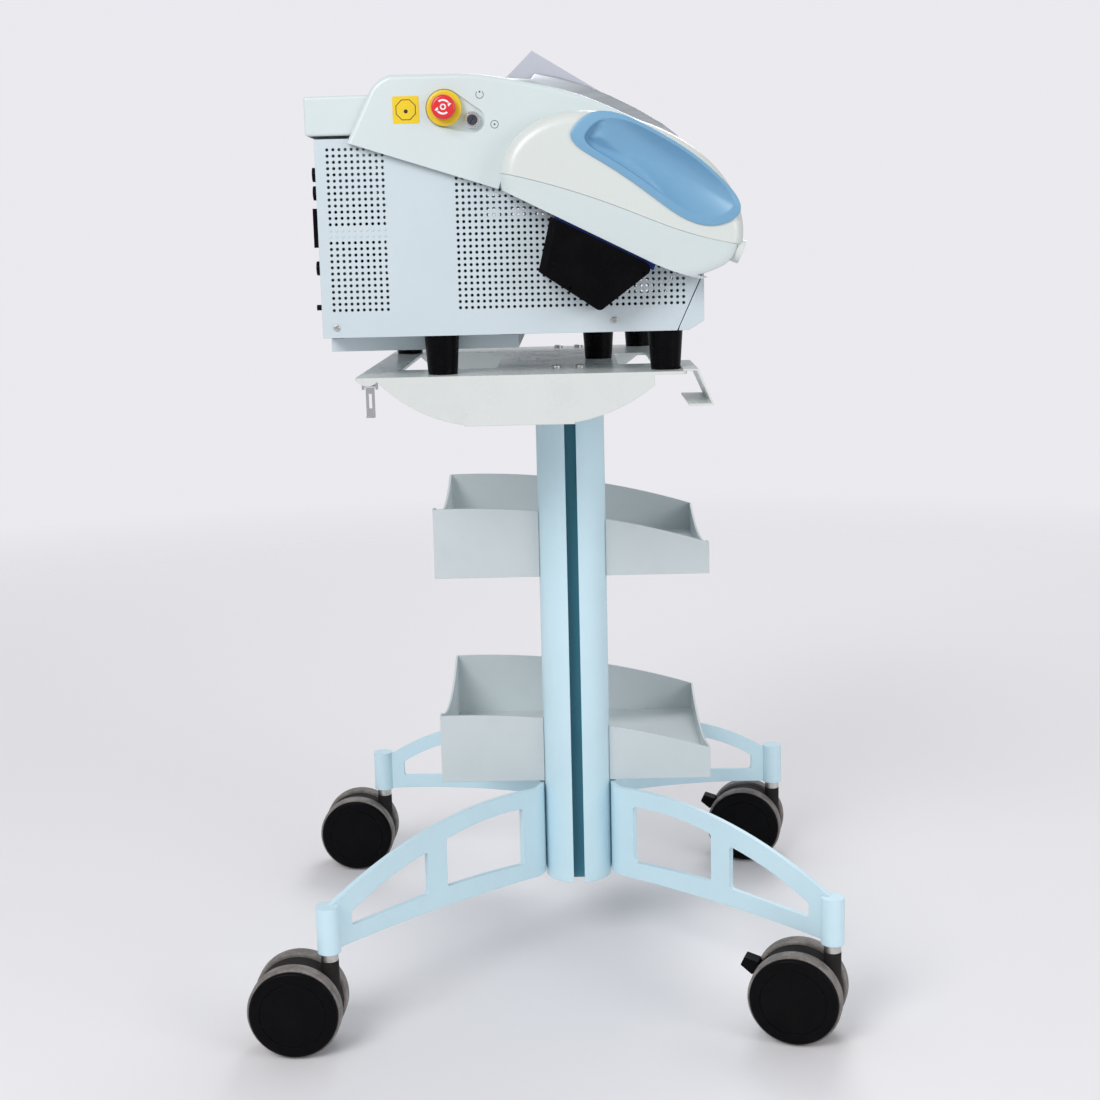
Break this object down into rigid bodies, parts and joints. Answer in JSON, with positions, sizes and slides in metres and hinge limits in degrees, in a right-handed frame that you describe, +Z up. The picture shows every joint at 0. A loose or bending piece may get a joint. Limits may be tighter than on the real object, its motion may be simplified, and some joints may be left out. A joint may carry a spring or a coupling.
{
  "type": "medical laser console on trolley",
  "caption": "Bedside medical laser console with key switch and emergency stop, standing on a column trolley with arched legs, twin-wheel casters and accessory trays.",
  "frame": {"origin": "on the floor, under the centre of the whole object's footprint", "axes": "+Z up; +X towards the operator, who faces the sloping display; -Y is the side with the emergency stop and key switch"},
  "size_m": [0.64, 0.6182, 1.031],
  "materials": {
    "column_paint": "satin powder coat",
    "plate_paint": "satin powder coat",
    "tray_paint": "satin powder coat",
    "zinc_steel": "zinc plated",
    "caster_nylon": "moulded nylon",
    "caster_tread": "worn rubber",
    "case_paint": "satin powder coat",
    "black_plastic": "moulded",
    "shell_plastic": "painted moulding",
    "pod_plastic": "painted moulding",
    "blue_plastic": "soft-touch moulding",
    "display_glass": "dark glossy panel",
    "trim_metal": "brushed",
    "yellow_plastic": "moulded",
    "red_plastic": "moulded",
    "chrome": "polished",
    "alloy": "machined",
    "board_green": "solder mask"
  },
  "bodies": {
    "root": {"column": "column_paint", "leg_frame_front": "column_paint", "leg_frame_rear": "column_paint", "top_plate": "plate_paint", "head_beam": "column_paint", "front_hook": "plate_paint", "clip_lug": "zinc_steel", "upper_tray": "tray_paint", "lower_tray": "tray_paint", "tray_brackets": "tray_paint", "trolley_screws": "zinc_steel", "caster_stems": "zinc_steel", "left_side_cover": "case_paint", "right_side_cover": "case_paint", "base_chassis": "case_paint", "front_panel": "case_paint", "rear_panel": "case_paint", "lower_pan": "case_paint", "feet": "black_plastic", "cover_screws": "zinc_steel", "power_inlet": "black_plastic", "rear_ports": "black_plastic", "rear_cap": "shell_plastic", "upper_shell": "shell_plastic", "switch_plate": "shell_plastic", "left_pod": "pod_plastic", "right_pod": "pod_plastic", "left_dish": "blue_plastic", "right_dish": "blue_plastic", "lower_shell": "shell_plastic", "display_housing": "shell_plastic", "display_glass": "display_glass", "display_trim": "trim_metal", "estop_collar": "yellow_plastic", "key_bezel": "chrome", "side_dock": "black_plastic", "fibre_port_cap": "shell_plastic", "power_supply": "black_plastic", "laser_module": "alloy", "control_board": "board_green", "fan_frame": "black_plastic"},
    "caster_front_left_fork": {"caster_front_left_housing": "caster_nylon"},
    "caster_front_left_wheels": {"caster_front_left_hubs": "caster_nylon", "caster_front_left_treads": "caster_tread"},
    "caster_front_left_brake": {"caster_front_left_pedal": "caster_nylon"},
    "caster_front_right_fork": {"caster_front_right_housing": "caster_nylon"},
    "caster_front_right_wheels": {"caster_front_right_hubs": "caster_nylon", "caster_front_right_treads": "caster_tread"},
    "caster_front_right_brake": {"caster_front_right_pedal": "caster_nylon"},
    "caster_rear_left_fork": {"caster_rear_left_housing": "caster_nylon"},
    "caster_rear_left_wheels": {"caster_rear_left_hubs": "caster_nylon", "caster_rear_left_treads": "caster_tread"},
    "caster_rear_right_fork": {"caster_rear_right_housing": "caster_nylon"},
    "caster_rear_right_wheels": {"caster_rear_right_hubs": "caster_nylon", "caster_rear_right_treads": "caster_tread"},
    "estop_plunger": {"estop_stem": "red_plastic"},
    "estop_button": {"estop_head": "red_plastic"},
    "key_switch": {"key_barrel": "chrome"},
    "fan_wheel": {"fan_rotor": "black_plastic"},
    "hanging_clip": {"rear_clip": "zinc_steel"}
  },
  "joints": [
    {"name": "front_left_swivel", "type": "hinge", "parent": "root", "child": "caster_front_left_fork", "pos_m": [0.29889, -0.27545, 0.09], "axis": [0, 0, 1], "continuous": true},
    {"name": "front_left_roll", "type": "hinge", "parent": "caster_front_left_fork", "child": "caster_front_left_wheels", "pos_m": [0.26446, -0.26492, 0.05], "axis": [0.2924, 0.9563, 0], "continuous": true},
    {"name": "front_left_brake", "type": "hinge", "parent": "caster_front_left_fork", "child": "caster_front_left_brake", "pos_m": [0.23294, -0.25528, 0.0668], "axis": [0.2924, 0.9563, 0], "range_deg": [-14, 0]},
    {"name": "front_right_swivel", "type": "hinge", "parent": "root", "child": "caster_front_right_fork", "pos_m": [0.29889, 0.26055, 0.09], "axis": [0, 0, 1], "continuous": true},
    {"name": "front_right_roll", "type": "hinge", "parent": "caster_front_right_fork", "child": "caster_front_right_wheels", "pos_m": [0.26368, 0.26804, 0.05], "axis": [0.2079, 0.9781, 0], "continuous": true},
    {"name": "front_right_brake", "type": "hinge", "parent": "caster_front_right_fork", "child": "caster_front_right_brake", "pos_m": [0.23143, 0.27489, 0.0668], "axis": [0.2079, 0.9781, 0], "range_deg": [-14, 0]},
    {"name": "rear_left_swivel", "type": "hinge", "parent": "root", "child": "caster_rear_left_fork", "pos_m": [-0.23311, -0.27545, 0.09], "axis": [0, 0, 1], "continuous": true},
    {"name": "rear_left_roll", "type": "hinge", "parent": "caster_rear_left_fork", "child": "caster_rear_left_wheels", "pos_m": [-0.26909, -0.27419, 0.05], "axis": [0.0349, 0.9994, 0], "continuous": true},
    {"name": "rear_right_swivel", "type": "hinge", "parent": "root", "child": "caster_rear_right_fork", "pos_m": [-0.23311, 0.26055, 0.09], "axis": [0, 0, 1], "continuous": true},
    {"name": "rear_right_roll", "type": "hinge", "parent": "caster_rear_right_fork", "child": "caster_rear_right_wheels", "pos_m": [-0.26909, 0.26181, 0.05], "axis": [0.0349, 0.9994, 0], "continuous": true},
    {"name": "estop_push", "type": "slide", "parent": "root", "child": "estop_plunger", "axis": [0, 1, 0], "range_m": [0, 0.004], "stiffness_N_per_m": 800},
    {"name": "estop_twist", "type": "hinge", "parent": "estop_plunger", "child": "estop_button", "pos_m": [-0.08451, -0.24045, 0.9746], "axis": [0, -1, 0], "range_deg": [-45, 0], "stiffness_Nm_per_rad": 0.05},
    {"name": "key_turn", "type": "hinge", "parent": "root", "child": "key_switch", "pos_m": [-0.05711, -0.22245, 0.9627], "axis": [0, 1, 0], "range_deg": [0, 90]},
    {"name": "fan_spin", "type": "hinge", "parent": "root", "child": "fan_wheel", "pos_m": [-0.20391, 0.08755, 0.85], "axis": [1, 0, 0], "continuous": true},
    {"name": "clip_swing", "type": "hinge", "parent": "root", "child": "hanging_clip", "pos_m": [-0.17111, -0.21945, 0.7005], "axis": [1, 0, 0], "range_deg": [-60, 60]}
  ]
}
